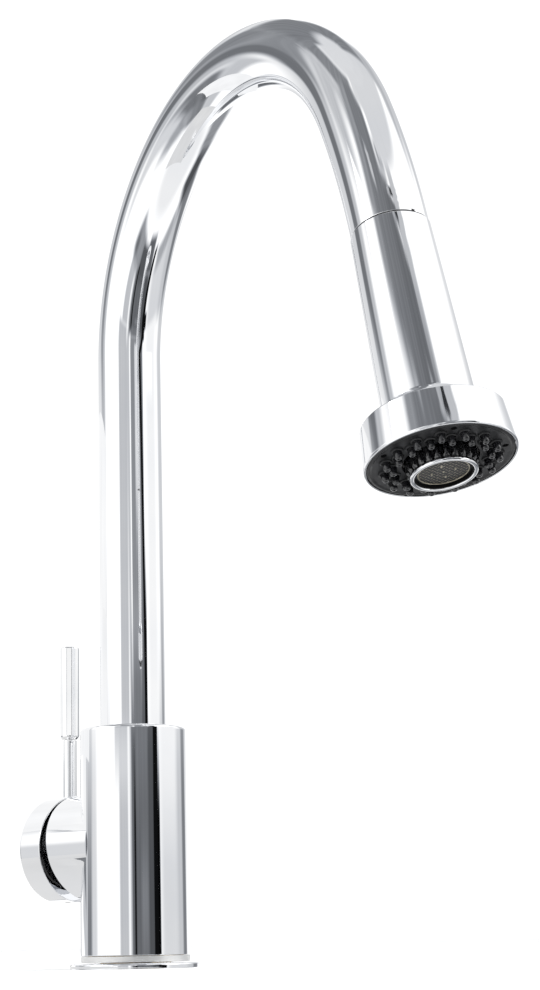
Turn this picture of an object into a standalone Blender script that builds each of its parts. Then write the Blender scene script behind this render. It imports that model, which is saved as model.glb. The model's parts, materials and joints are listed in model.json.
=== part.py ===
"""Pull-down kitchen faucet: a side-lever mixer with a swivelling gooseneck spout and a pull-out spray wand.

Metres, +Z up. The origin is the centre of the base on the deck. The spout reaches along -Y and the handle
points away from it. Everything below z = 0 sits under the deck.
"""

from math import cos, pi, radians, sin, tan

import bmesh
import bpy
from mathutils import Matrix, Vector

MM = 0.001
GAP = 0.3 * MM

# Base and body
FLANGE_RADIUS = 29.8 * MM
FLANGE_HEIGHT = 2.5 * MM
BODY_RADIUS = 25.0 * MM
BODY_TOP = 108.8 * MM
BODY_WALL = 2.7 * MM
BODY_ROOF = 3.0 * MM
BLOCK_RADIUS = 21.9 * MM
BLOCK_TOP = 80.0 * MM
HOSE_PASSAGE = 8.5 * MM

# Under the deck
SHANK_RADIUS = 16.2 * MM
SHANK_BORE = 13.0 * MM
SHANK_BOTTOM = -52.0 * MM
SHANK_TOP = 11.7 * MM
DECK_THICKNESS = 33.0 * MM
RUBBER_THICKNESS = 3.0 * MM
WASHER_THICKNESS = 1.7 * MM
WASHER_RADIUS = 27.0 * MM
NUT_RADIUS = 25.0 * MM
NUT_HEIGHT = 10.0 * MM
INLET_OFFSET = 9.6 * MM
INLET_RADIUS = 3.0 * MM
INLET_BORE = 1.9 * MM
INLET_BOTTOM = -60.0 * MM

# Spout
TUBE_RADIUS = 15.55 * MM
TUBE_WALL = 1.6 * MM
TUBE_BOTTOM = 85.0 * MM
HOSE_RADIUS = 5.5 * MM
ARCH_START = 290.0 * MM
ARCH_RADIUS = 106.2 * MM
ARCH_ANGLE = radians(155.8)
TAIL_RADIUS = 346.0 * MM
TAIL_ANGLE = radians(10.3)

# Handle
HUB_AZIMUTH = radians(16.9)
HUB_HEIGHT = 55.6 * MM
HUB_RADIUS = 24.7 * MM
BOSS_ROOT = 7.0 * MM
CAP_RADIUS = 25.0 * MM
PIVOT_OUT = 38.4 * MM
VALVE_SLANT = radians(9.0)
FACE_BEHIND_PIVOT = 4.3 * MM
CAP_DEPTH = 14.4 * MM
CAP_CAVITY = 9.5 * MM
LEVER_OUT = 6.3 * MM
LEVER_RADIUS = 3.37 * MM
GRIP_RADIUS = 4.75 * MM
LEVER_BOTTOM = 20.3 * MM
GRIP_BOTTOM = 52.4 * MM
GRIP_TOP = 97.8 * MM
CARTRIDGE_RADIUS = 17.8 * MM
PIN_RADIUS = 1.5 * MM
SCREW_RADIUS = 2.1 * MM

# Spray wand, measured along its axis from the joint with the spout
WAND_TOP_RADIUS = 15.95 * MM
WAND_END_RADIUS = 17.85 * MM
WAND_LENGTH = 83.8 * MM
FLARE_RADIUS = 6.6 * MM
BELL_TOP_RADIUS = 27.2 * MM
BELL_END_RADIUS = 28.5 * MM
BELL_END = 99.9 * MM
NECK_RADIUS = 10.2 * MM
NECK_LENGTH = 12.0 * MM
FACE_RADIUS = 27.3 * MM
FACE_FRONT = 99.6 * MM
NOZZLE_COUNT = 15
NOZZLE_OUTER = 21.0 * MM
NOZZLE_INNER = 18.0 * MM
NOZZLE_TIP = 102.6 * MM
NOZZLE_SIDES = 6
AIR_HOLE_COUNT = 5
AIR_HOLE_RING = 23.6 * MM
AERATOR_RADIUS = 12.6 * MM
CAGE_RADIUS = 13.5 * MM
RIB_COUNT = 12
RIB_DEPTH = 0.6 * MM
AERATOR_FRONT = 105.9 * MM

FINE = 36
PLAIN = 24
COARSE = 12

CHROME = ((0.82, 0.83, 0.85), 0.05, 1.0)
BRASS = ((0.72, 0.55, 0.26), 0.30, 1.0)
STEEL = ((0.60, 0.60, 0.61), 0.30, 1.0)
RUBBER = ((0.015, 0.015, 0.017), 0.75, 0.0)
DARK_PLASTIC = ((0.035, 0.037, 0.040), 0.45, 0.0)
GREY_PLASTIC = ((0.10, 0.10, 0.105), 0.50, 0.0)
WHITE_PLASTIC = ((0.75, 0.75, 0.73), 0.45, 0.0)


def clear_scene():
    for thing in list(bpy.data.objects):
        bpy.data.objects.remove(thing, do_unlink=True)


def finish_material(name, finish):
    colour, roughness, metallic = finish
    material = bpy.data.materials.new(name)
    material.use_nodes = True
    shader = material.node_tree.nodes["Principled BSDF"]
    shader.inputs["Base Color"].default_value = (*colour, 1.0)
    shader.inputs["Roughness"].default_value = roughness
    shader.inputs["Metallic"].default_value = metallic
    return material


def empty(name, matrix, parent=None):
    thing = bpy.data.objects.new(name, None)
    bpy.context.scene.collection.objects.link(thing)
    thing.parent = parent
    thing.matrix_world = matrix
    bpy.context.view_layer.update()
    return thing


def add(name, mesh, finish, holder):
    """An object whose mesh is given in the axes of the empty that holds it."""
    thing = bpy.data.objects.new(name, mesh)
    bpy.context.scene.collection.objects.link(thing)
    thing.parent = holder
    if finish is not None:
        mesh.materials.append(finish_material(name + "_finish", finish))
    mesh.shade_smooth()
    mesh.set_sharp_from_angle(angle=radians(30))
    return thing


def cutter(name, mesh, holder):
    thing = add(name, mesh, None, holder)
    thing.hide_render = True
    thing.display_type = "WIRE"
    return thing


def combine(thing, other, operation="DIFFERENCE"):
    modifier = thing.modifiers.new(operation.lower() + "_" + other.name, "BOOLEAN")
    modifier.object = other
    modifier.operation = operation


def mesh_from(name, bm):
    bmesh.ops.remove_doubles(bm, verts=bm.verts, dist=1e-6)
    bmesh.ops.recalc_face_normals(bm, faces=bm.faces)
    if bm.calc_volume(signed=True) < 0:
        bmesh.ops.reverse_faces(bm, faces=bm.faces)
    mesh = bpy.data.meshes.new(name)
    bm.to_mesh(mesh)
    bm.free()
    return mesh


def turned(name, profile, sides):
    """Solid of revolution about Z from (radius, height) points that go round its section."""
    bm = bmesh.new()
    points = [bm.verts.new((radius, 0.0, height)) for radius, height in profile]
    lines = [bm.edges.new(pair) for pair in zip(points, points[1:])]
    if profile[0][0] > 0 or profile[-1][0] > 0:
        lines.append(bm.edges.new((points[-1], points[0])))
    bmesh.ops.spin(
        bm, geom=points + lines, cent=(0, 0, 0), axis=(0, 0, 1), angle=2 * pi, steps=sides, use_merge=True
    )
    return mesh_from(name, bm)


def turned_half(name, profile, sides):
    """The same, turned by half a side, so that its corners don't fall on those of the solid that it cuts."""
    mesh = turned(name, profile, sides)
    mesh.transform(Matrix.Rotation(pi / sides, 4, "Z"))
    return mesh


def tube_profile(inner, outer, low, high):
    return [(inner, low), (outer, low), (outer, high), (inner, high)]


def rod_profile(radius, low, high, chamfer=0.0):
    if chamfer == 0.0:
        return [(0, low), (radius, low), (radius, high), (0, high)]
    small = radius - chamfer
    edges = [(small, low), (radius, low + chamfer), (radius, high - chamfer), (small, high)]
    return [(0, low), *edges, (0, high)]


def arc(centre, radius, start, end, steps):
    """Points on an arc of the section, with the angles in degrees from the radial direction."""
    angles = [radians(start + (end - start) * step / steps) for step in range(steps + 1)]
    return [(centre[0] + radius * cos(angle), centre[1] + radius * sin(angle)) for angle in angles]


def block(name, low, high):
    bm = bmesh.new()
    size = Vector(high) - Vector(low)
    middle = (Vector(high) + Vector(low)) / 2
    bmesh.ops.create_cube(bm, size=1.0, matrix=Matrix.Translation(middle) @ Matrix.Diagonal((*size, 1.0)))
    return mesh_from(name, bm)


def rods(name, places, radius_low, radius_high, low, high, sides):
    """Several separate upright pegs in one mesh, one at each (x, y)."""
    bm = bmesh.new()
    for x, y in places:
        bmesh.ops.create_cone(
            bm,
            cap_ends=True,
            segments=sides,
            radius1=radius_low,
            radius2=radius_high,
            depth=high - low,
            matrix=Matrix.Translation((x, y, (low + high) / 2)),
        )
    return mesh_from(name, bm)


def bend_station(start, radius, angle_from, angle):
    """Point and direction on a bend of the spout, whose direction leans from +Z towards -Y by the angle."""
    step = Vector((0, radius * (cos(angle) - cos(angle_from)), radius * (sin(angle) - sin(angle_from))))
    return start + step, Vector((0, -sin(angle), cos(angle)))


def spout_stations(bottom, arch_steps, tail_steps):
    """Points and directions along the middle of the spout, from its lower end to the joint with the wand."""
    up = Vector((0, 0, 1))
    foot = Vector((0, 0, bottom))
    shoulder = Vector((0, 0, ARCH_START))
    stations = [(foot, up), (foot.lerp(shoulder, 0.5), up)]
    for step in range(arch_steps + 1):
        stations.append(bend_station(shoulder, ARCH_RADIUS, 0.0, ARCH_ANGLE * step / arch_steps))
    tail = stations[-1][0]
    for step in range(1, tail_steps + 1):
        angle = ARCH_ANGLE + TAIL_ANGLE * step / tail_steps
        stations.append(bend_station(tail, TAIL_RADIUS, ARCH_ANGLE, angle))
    return stations


def swept_tube(name, stations, inner, outer, sides):
    """Open-ended tube through the stations, which lie in the YZ plane."""
    bm = bmesh.new()
    across = Vector((1, 0, 0))
    loops = []
    for centre, along in stations:
        normal = along.cross(across)
        turns = [2 * pi * side / sides for side in range(sides)]
        spokes = [across * cos(turn) + normal * sin(turn) for turn in turns]
        skin = [bm.verts.new(centre + spoke * outer) for spoke in spokes]
        core = [bm.verts.new(centre + spoke * inner) for spoke in spokes]
        loops.append((skin, core))
    for first, second in zip(loops, loops[1:]):
        for near, far in zip(first, second):
            for side in range(sides):
                after = (side + 1) % sides
                bm.faces.new((near[side], near[after], far[after], far[side]))
    for skin, core in (loops[0], loops[-1]):
        for side in range(sides):
            after = (side + 1) % sides
            bm.faces.new((skin[side], skin[after], core[after], core[side]))
    return mesh_from(name, bm)


def build_under_deck(base):
    washer_top = -DECK_THICKNESS
    steel_top = washer_top - RUBBER_THICKNESS - GAP
    nut_top = steel_top - WASHER_THICKNESS - GAP
    bore = SHANK_RADIUS + GAP
    shank = turned("threaded_shank", tube_profile(SHANK_BORE, SHANK_RADIUS, SHANK_BOTTOM, SHANK_TOP), PLAIN)
    add("threaded_shank", shank, BRASS, base)
    rubber = tube_profile(bore, WASHER_RADIUS, washer_top - RUBBER_THICKNESS, washer_top)
    add("rubber_washer", turned("rubber_washer", rubber, PLAIN), RUBBER, base)
    steel = tube_profile(bore, WASHER_RADIUS, steel_top - WASHER_THICKNESS, steel_top)
    add("clamp_washer", turned("clamp_washer", steel, PLAIN), STEEL, base)
    hexagon = turned("mounting_nut", rod_profile(NUT_RADIUS, nut_top - NUT_HEIGHT, nut_top), 6)
    nut = add("mounting_nut", hexagon, BRASS, base)
    hole = rod_profile(bore, nut_top - 1.5 * NUT_HEIGHT, nut_top + 0.5 * NUT_HEIGHT)
    hole = turned_half("nut_hole", hole, PLAIN)
    combine(nut, cutter("nut_hole", hole, base))
    for name, side in (("hot_inlet", -1), ("cold_inlet", 1)):
        stub = turned(name, tube_profile(INLET_BORE, INLET_RADIUS, INLET_BOTTOM, SHANK_TOP), COARSE)
        stub.transform(Matrix.Translation((side * INLET_OFFSET, 0, 0)))
        add(name, stub, BRASS, base)


def build_base(base):
    rim = arc((FLANGE_RADIUS - 1.2 * MM, FLANGE_HEIGHT - 1.2 * MM), 1.2 * MM, 0, 90, 2)
    flange = [(16.8 * MM, 0), (20 * MM, 0), (20 * MM, 1.5 * MM), (27 * MM, 1.5 * MM), (27 * MM, 0)]
    flange += [(FLANGE_RADIUS - 0.2 * MM, 0), *rim, (16.8 * MM, FLANGE_HEIGHT)]
    add("base_flange", turned("base_flange", flange, FINE), CHROME, base)
    gasket = tube_profile(20.3 * MM, 26.7 * MM, 0, 1.2 * MM)
    add("base_gasket", turned("base_gasket", gasket, PLAIN), RUBBER, base)


def slanted_boss():
    """Horizontal cylinder along Z of the hub's axes, whose outer end leans by the valve's slant."""
    middle = -FACE_BEHIND_PIVOT / cos(VALVE_SLANT)
    bm = bmesh.new()
    length = PIVOT_OUT + middle - BOSS_ROOT
    placed = Matrix.Translation((0, 0, middle - length / 2))
    bmesh.ops.create_cone(
        bm, cap_ends=True, segments=FINE, radius1=HUB_RADIUS, radius2=HUB_RADIUS, depth=length, matrix=placed
    )
    for point in bm.verts:
        if point.co.z > middle - length / 2:
            point.co.z += point.co.y * tan(VALVE_SLANT)
    return mesh_from("boss", bm)


def build_body(base, hub, valve):
    edge = 1.5 * MM
    bottom = FLANGE_HEIGHT + GAP
    inside = BODY_RADIUS - BODY_WALL
    roof = BODY_TOP - BODY_ROOF
    outside = [(0, bottom), (BODY_RADIUS, bottom)]
    outside += arc((BODY_RADIUS - edge, BODY_TOP - edge), edge, 0, 90, 2) + [(0, BODY_TOP)]
    body = add("body_shell", turned("body_shell", outside, FINE), CHROME, base)
    combine(body, cutter("boss", slanted_boss(), hub), "UNION")
    bore = [(0, -5 * MM), (inside, -5 * MM), (inside, roof), (TUBE_RADIUS + 0.4 * MM, roof)]
    bore += [(TUBE_RADIUS + 0.4 * MM, BODY_TOP + 5 * MM), (0, BODY_TOP + 5 * MM)]
    combine(body, cutter("body_bore", turned_half("body_bore", bore, FINE), base))
    seat = turned_half("valve_bore", rod_profile(20.2 * MM, -30 * MM, 12 * MM), FINE)
    combine(body, cutter("valve_bore", seat, valve))

    socket = SHANK_RADIUS + 0.4 * MM
    core = [(HOSE_PASSAGE, SHANK_TOP + GAP), (socket, SHANK_TOP + GAP), (socket, bottom + GAP)]
    core += [(BLOCK_RADIUS, bottom + GAP), (BLOCK_RADIUS, BLOCK_TOP), (HOSE_PASSAGE, BLOCK_TOP)]
    waterway = add("waterway_block", turned("waterway_block", core, PLAIN), BRASS, base)
    pocket = rod_profile(CARTRIDGE_RADIUS + 0.4 * MM, -25 * MM, 30 * MM)
    pocket = turned_half("cartridge_pocket", pocket, PLAIN)
    combine(waterway, cutter("cartridge_pocket", pocket, valve))

    sleeve = [(16.1 * MM, roof - 3.1 * MM), (20.4 * MM, roof - 3.1 * MM), (20.4 * MM, 81 * MM)]
    sleeve += [(22.0 * MM, 81 * MM), (22.0 * MM, roof - GAP), (16.1 * MM, roof - GAP)]
    add("swivel_bearing", turned("swivel_bearing", sleeve, PLAIN), WHITE_PLASTIC, base)


def build_valve(valve):
    """The cartridge on its slanted axis, with the pivot at z = 0."""
    shoulder = -12 * MM
    well = -18 * MM
    neck = -8.5 * MM
    cartridge = [(0, -24.7 * MM), (CARTRIDGE_RADIUS, -24.7 * MM), (CARTRIDGE_RADIUS, shoulder)]
    cartridge += [(11.5 * MM, shoulder), (11.5 * MM, neck), (5.6 * MM, neck), (5.6 * MM, well), (0, well)]
    add("cartridge_body", turned("cartridge_body", cartridge, PLAIN), WHITE_PLASTIC, valve)
    nut = tube_profile(11.9 * MM, 19.8 * MM, shoulder + GAP, -7.7 * MM)
    add("bonnet_nut", turned("bonnet_nut", nut, PLAIN), BRASS, valve)
    cover = [(8 * MM, -7.4 * MM), (19.8 * MM, -7.4 * MM), (19.8 * MM, -5.6 * MM)]
    cover += [(18.6 * MM, -4.7 * MM), (8 * MM, -4.7 * MM)]
    add("bonnet_cover", turned("bonnet_cover", cover, PLAIN), DARK_PLASTIC, valve)


def build_turret(turret):
    """The stem that turns in the cartridge, with the fork that carries the lever's pivot pin."""
    stem = turned("cartridge_stem", rod_profile(5.2 * MM, -17.7 * MM, -3.2 * MM), COARSE)
    stem = add("cartridge_stem", stem, STEEL, turret)
    fork = block("fork", (-5.0 * MM, -4.4 * MM, -3.6 * MM), (5.0 * MM, 4.4 * MM, 3.2 * MM))
    combine(stem, cutter("fork", fork, turret), "UNION")
    slot = block("fork_slot", (-2.4 * MM, -9 * MM, -3.0 * MM), (2.4 * MM, 9 * MM, 9 * MM))
    combine(stem, cutter("fork_slot", slot, turret))
    lying = Matrix.Rotation(pi / 2, 4, "Y")
    hole = turned("pin_hole", rod_profile(PIN_RADIUS + GAP, -9 * MM, 9 * MM), COARSE)
    hole.transform(lying)
    combine(stem, cutter("pin_hole", hole, turret))
    pin = turned("pivot_pin", rod_profile(PIN_RADIUS, -5.6 * MM, 5.6 * MM), COARSE)
    pin.transform(lying)
    add("pivot_pin", pin, STEEL, turret)


def build_handle(handle):
    """Axes of the handle: Z out along the hub, Y up, X level, with the pivot at the origin."""
    edge = 1.2 * MM
    socket = 4.2 * MM
    cap_profile = [(0, 9.6 * MM), (3.9 * MM, 9.6 * MM), (3.9 * MM, socket)]
    cap_profile += [(7 * MM, socket), (7 * MM, CAP_CAVITY)]
    cap_profile += [(19 * MM, CAP_CAVITY), (19 * MM, 0), (CAP_RADIUS - 0.4 * MM, 0), (CAP_RADIUS, 0.4 * MM)]
    cap_profile += arc((CAP_RADIUS - edge, CAP_DEPTH - edge), edge, 0, 90, 2) + [(0, CAP_DEPTH)]
    cap = add("handle_cap", turned("handle_cap", cap_profile, FINE), CHROME, handle)
    upright = Matrix.Translation((0, 0, LEVER_OUT)) @ Matrix.Rotation(-pi / 2, 4, "X")
    hole = turned("lever_hole", rod_profile(LEVER_RADIUS + GAP, LEVER_BOTTOM - GAP, 30 * MM), COARSE)
    hole.transform(upright)
    combine(cap, cutter("lever_hole", hole, handle))
    access = turned("screw_hole", rod_profile(SCREW_RADIUS + GAP, -30 * MM, -2 * MM), COARSE)
    access.transform(upright)
    combine(cap, cutter("screw_hole", access, handle))

    arm = [(0, -2.4 * MM), (3.6 * MM, -2.4 * MM), (3.6 * MM, 9.3 * MM), (0, 9.3 * MM)]
    arm = add("lever_arm", turned("lever_arm", arm, COARSE), STEEL, handle)
    for name, side in (("arm_flat_left", -1), ("arm_flat_right", 1)):
        near, far = sorted((side * 2.0 * MM, side * 6.0 * MM))
        combine(arm, cutter(name, block(name, (near, -6 * MM, -4 * MM), (far, 6 * MM, 3.9 * MM)), handle))
    pin_hole = turned("arm_pin_hole", rod_profile(PIN_RADIUS + GAP, -9 * MM, 9 * MM), COARSE)
    pin_hole.transform(Matrix.Rotation(pi / 2, 4, "Y"))
    combine(arm, cutter("arm_pin_hole", pin_hole, handle))

    spigot = 2.2 * MM
    shank = [(0, LEVER_BOTTOM), (LEVER_RADIUS, LEVER_BOTTOM), (LEVER_RADIUS, GRIP_BOTTOM - GAP)]
    shank += [(spigot, GRIP_BOTTOM - GAP), (spigot, GRIP_BOTTOM + 8 * MM), (0, GRIP_BOTTOM + 8 * MM)]
    shank = turned("lever_rod", shank, PLAIN)
    shank.transform(upright)
    add("lever_rod", shank, CHROME, handle)
    step = 1.2 * MM
    grip = [(0, GRIP_BOTTOM + 8.4 * MM), (spigot + GAP, GRIP_BOTTOM + 8.4 * MM), (spigot + GAP, GRIP_BOTTOM)]
    grip += [(GRIP_RADIUS - step, GRIP_BOTTOM), (GRIP_RADIUS, GRIP_BOTTOM + step)]
    grip += arc((GRIP_RADIUS - step, GRIP_TOP - step), step, 0, 90, 2) + [(0, GRIP_TOP)]
    grip = turned("lever_grip", grip, PLAIN)
    grip.transform(upright)
    add("lever_grip", grip, CHROME, handle)

    screw = [(0, -22 * MM), (1.1 * MM, -22 * MM), (1.1 * MM, -24 * MM)]
    screw += [(SCREW_RADIUS, -24 * MM), (SCREW_RADIUS, -4.0 * MM), (0, -4.0 * MM)]
    screw = turned("handle_set_screw", screw, COARSE)
    screw.transform(upright)
    add("handle_set_screw", screw, STEEL, handle)


def hose_curve(stations):
    curve = bpy.data.curves.new("hose", "CURVE")
    curve.dimensions = "3D"
    curve.bevel_depth = HOSE_RADIUS
    curve.bevel_resolution = 2
    curve.use_fill_caps = True
    line = curve.splines.new("POLY")
    line.points.add(len(stations) - 1)
    for point, (place, _) in zip(line.points, stations):
        point.co = (*place, 1.0)
    return curve


def build_spout(spout, wand_axes):
    tube = swept_tube(
        "spout_tube", spout_stations(TUBE_BOTTOM, 16, 3), TUBE_RADIUS - TUBE_WALL, TUBE_RADIUS, PLAIN
    )
    add("spout_tube", tube, CHROME, spout)
    roof = BODY_TOP - BODY_ROOF
    ring_height = 92 * MM
    bush = TUBE_RADIUS + GAP
    groove_low = ring_height - 1.3 * MM
    groove_high = ring_height + 1.3 * MM
    outside = 18.9 * MM
    foot = [(bush, TUBE_BOTTOM), (outside, TUBE_BOTTOM), (outside, groove_low), (17.4 * MM, groove_low)]
    foot += [(17.4 * MM, groove_high), (outside, groove_high)]
    foot += [(outside, roof - 3.4 * MM), (bush, roof - 3.4 * MM)]
    add("spout_foot", turned("spout_foot", foot, PLAIN), BRASS, spout)
    ring = arc((18.8 * MM, ring_height), 1.0 * MM, 0, 300, 5)
    add("friction_ring", turned("friction_ring", ring, PLAIN), RUBBER, spout)
    clip_profile = tube_profile(14.2 * MM, 18.6 * MM, TUBE_BOTTOM - 1.9 * MM, TUBE_BOTTOM - GAP)
    clip = add("spout_clip", turned("spout_clip", clip_profile, PLAIN), STEEL, spout)
    opening = block("clip_opening", (-5 * MM, 5 * MM, 78 * MM), (5 * MM, 25 * MM, 90 * MM))
    combine(clip, cutter("clip_opening", opening, spout))
    bush_outer = TUBE_RADIUS - TUBE_WALL - 0.7 * MM
    dock = [(NECK_RADIUS + 0.4 * MM, -14 * MM), (bush_outer, -14 * MM), (bush_outer, -0.8 * MM)]
    dock += [(NECK_RADIUS + 1.2 * MM, -0.8 * MM), (NECK_RADIUS + 0.4 * MM, -2 * MM)]
    dock = turned("dock_bush", dock, PLAIN)
    dock.transform(wand_axes)
    add("dock_bush", dock, DARK_PLASTIC, spout)

    low = SHANK_BOTTOM + 2.6 * MM
    route = [(Vector((0, 0, low)), None), (Vector((0, 0, low / 2)), None), (Vector((0, 0, 20 * MM)), None)]
    route += spout_stations(TUBE_BOTTOM, 18, 3)[:-1]
    last = wand_axes @ Vector((0, 0, -NECK_LENGTH - 0.4 * MM))
    route += [(last, None)]
    hose = bpy.data.objects.new("hose", hose_curve(route))
    bpy.context.scene.collection.objects.link(hose)
    hose.data.materials.append(finish_material("hose_finish", STEEL))
    hose.parent = spout
    tail = [(0, low - 12 * MM), (6.0 * MM, low - 12 * MM), (6.0 * MM, low - GAP), (0, low - GAP)]
    add("hose_tail", turned("hose_tail", tail, COARSE), BRASS, spout)


def ring_places(count, radius, first_degrees):
    """Places round the spray face; the angle runs from the face's outer side (local +Y) towards +X."""
    turns = [radians(first_degrees) + 2 * pi * step / count for step in range(count)]
    return [(radius * sin(turn), radius * cos(turn)) for turn in turns]


def build_wand(wand):
    seam = WAND_END_RADIUS + FLARE_RADIUS
    neck_bore = 8.9 * MM
    flare = arc((seam, WAND_LENGTH - 0.2 * MM - FLARE_RADIUS), FLARE_RADIUS, 180, 90, 4)
    shell = [(neck_bore, -NECK_LENGTH), (NECK_RADIUS, -NECK_LENGTH), (NECK_RADIUS, 0.4 * MM)]
    shell += [(WAND_TOP_RADIUS - 0.4 * MM, 0.4 * MM), (WAND_TOP_RADIUS, 0.8 * MM), *flare]
    shell += [(seam, WAND_LENGTH + 1.2 * MM), (20.2 * MM, WAND_LENGTH + 1.2 * MM), (20.2 * MM, 84.0 * MM)]
    shell += [(15.6 * MM, 79.8 * MM), (13.8 * MM, 3 * MM), (neck_bore, 3 * MM)]
    add("wand_shell", turned("wand_shell", shell, FINE), CHROME, wand)

    lip = seam + GAP
    step = WAND_LENGTH + 1.2 * MM + GAP
    bell = [(lip, WAND_LENGTH), (BELL_TOP_RADIUS - 0.5 * MM, WAND_LENGTH)]
    bell += [(BELL_TOP_RADIUS, WAND_LENGTH + 0.5 * MM)]
    bell += [(BELL_END_RADIUS, BELL_END - 1.0 * MM), (BELL_END_RADIUS - 0.3 * MM, BELL_END)]
    bell += [(27.6 * MM, BELL_END), (27.6 * MM, 97 * MM), (26.2 * MM, 97 * MM)]
    bell += [(26.2 * MM, step + 2 * MM), (20.4 * MM, step + 2 * MM), (20.4 * MM, step), (lip, step)]
    add("bell_ring", turned("bell_ring", bell, FINE), CHROME, wand)

    plate = tube_profile(14.3 * MM, FACE_RADIUS, 97.3 * MM, FACE_FRONT)
    plate = add("face_plate", turned("face_plate", plate, FINE), GREY_PLASTIC, wand)
    pitch = 360 / NOZZLE_COUNT
    places = ring_places(NOZZLE_COUNT, NOZZLE_OUTER, pitch / 2) + ring_places(NOZZLE_COUNT, NOZZLE_INNER, 0)
    behind = FACE_FRONT - 5 * MM
    ahead = FACE_FRONT + 5 * MM
    holes = rods("nozzle_holes", places, 1.45 * MM, 1.45 * MM, behind, ahead, NOZZLE_SIDES)
    combine(plate, cutter("nozzle_holes", holes, wand))
    places_of_air = ring_places(AIR_HOLE_COUNT, AIR_HOLE_RING, -pitch)
    air = rods("air_holes", places_of_air, 1.2 * MM, 1.2 * MM, behind, ahead, NOZZLE_SIDES)
    combine(plate, cutter("air_holes", air, wand))
    mat = turned("nozzle_mat", tube_profile(14.9 * MM, 25.9 * MM, 95 * MM, 97 * MM), PLAIN)
    mat = add("nozzle_mat", mat, RUBBER, wand)
    tips = rods("nozzle_tips", places, 1.15 * MM, 0.85 * MM, 96 * MM, NOZZLE_TIP, NOZZLE_SIDES)
    combine(mat, cutter("nozzle_tips", tips, wand), "UNION")

    waterways = (
        ("spray_manifold", (7.4, 25.8, 87.6, 94.7), PLAIN, WHITE_PLASTIC),
        ("waterway_tube", (5.0, 7.0, 2.8, 94.0), COARSE, WHITE_PLASTIC),
        ("check_valve", (2.5, 4.6, 6.0, 18.0), COARSE, WHITE_PLASTIC),
        ("hose_nut", (3.5, 8.4, -11.6, 2.4), COARSE, BRASS),
    )
    for name, inner_outer_low_high, sides, finish in waterways:
        profile = tube_profile(*(value * MM for value in inner_outer_low_high))
        add(name, turned(name, profile, sides), finish, wand)


def ribbed_barrel(name, outer, inner, low, high):
    """Tube whose outside carries upright ribs; the bore is round."""
    bm = bmesh.new()
    loops = []
    count = RIB_COUNT * 4
    for height in (low, high):
        skin = []
        core = []
        for step in range(count):
            turn = 2 * pi * step / count
            radius = outer if step % 4 < 2 else outer - RIB_DEPTH
            skin.append(bm.verts.new((radius * cos(turn), radius * sin(turn), height)))
            core.append(bm.verts.new((inner * cos(turn), inner * sin(turn), height)))
        loops.append((skin, core))
    (low_skin, low_core), (high_skin, high_core) = loops
    for step in range(count):
        after = (step + 1) % count
        walls = ((low_skin, high_skin), (low_core, high_core))
        ends = ((low_skin, low_core), (high_skin, high_core))
        for first, second in walls + ends:
            bm.faces.new((first[step], first[after], second[after], second[step]))
    return mesh_from(name, bm)


def build_aerator(selector):
    """The barrel that turns in the middle of the spray face, with the aerator's mesh and rim."""
    cage = ribbed_barrel("aerator_cage", CAGE_RADIUS, 11.3 * MM, 95.0 * MM, 104.2 * MM)
    add("aerator_cage", cage, DARK_PLASTIC, selector)
    lip = AERATOR_FRONT - 0.6 * MM
    ring = [(10.5 * MM, 104.5 * MM), (AERATOR_RADIUS, 104.5 * MM), (AERATOR_RADIUS, lip)]
    ring += [(AERATOR_RADIUS - 0.6 * MM, AERATOR_FRONT), (9.8 * MM, AERATOR_FRONT)]
    ring += [(9.8 * MM, lip), (10.5 * MM, lip)]
    add("aerator_ring", turned("aerator_ring", ring, PLAIN), CHROME, selector)
    screen = turned("aerator_screen", rod_profile(10.2 * MM, 104.5 * MM, lip - GAP), PLAIN)
    add("aerator_screen", screen, STEEL, selector)
    core = turned("aerator_core", rod_profile(10.9 * MM, 95.2 * MM, 104.2 * MM), PLAIN)
    add("aerator_core", core, GREY_PLASTIC, selector)


def main():
    clear_scene()
    base = empty("base_axes", Matrix.Identity(4))
    outward = Vector((-sin(HUB_AZIMUTH), cos(HUB_AZIMUTH), 0))
    up = Vector((0, 0, 1))
    hub_turn = Matrix((up.cross(outward), up, outward)).transposed().to_4x4()
    pivot = outward * PIVOT_OUT + up * HUB_HEIGHT
    hub = empty("hub_axes", Matrix.Translation(pivot) @ hub_turn, base)
    slant = Matrix.Rotation(VALVE_SLANT, 4, "X")
    valve = empty("valve_axes", hub.matrix_world @ slant, base)
    turret = empty("turret_axes", valve.matrix_world, base)
    handle = empty("handle_axes", hub.matrix_world, turret)
    spout = empty("spout_axes", Matrix.Identity(4), base)
    joint, along = spout_stations(TUBE_BOTTOM, 20, 4)[-1]
    wand_turn = Matrix(((1, 0, 0), along.cross(Vector((1, 0, 0))), along)).transposed().to_4x4()
    wand_axes = Matrix.Translation(joint) @ wand_turn
    wand = empty("wand_axes", wand_axes, spout)
    selector = empty("selector_axes", wand_axes, wand)

    build_under_deck(base)
    build_base(base)
    build_body(base, hub, valve)
    build_valve(valve)
    build_turret(turret)
    build_handle(handle)
    build_spout(spout, wand_axes)
    build_wand(wand)
    build_aerator(selector)


main()
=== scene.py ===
"""Looks of the pull-down kitchen faucet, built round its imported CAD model.

Metres, +Z up, in the frame of the CAD: z = 0 is the deck, the spout reaches along -Y. The wand's axes have
their origin at its joint with the spout, Z down along the wand and Y up and away from the riser. The hub's
axes have Z out along the hub, Y up, and their origin at the handle's pivot.
"""

import json
from math import cos, pi, radians, sin, sqrt, tan

import bmesh
import bpy
import numpy as np
from mathutils import Matrix, Vector


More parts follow.
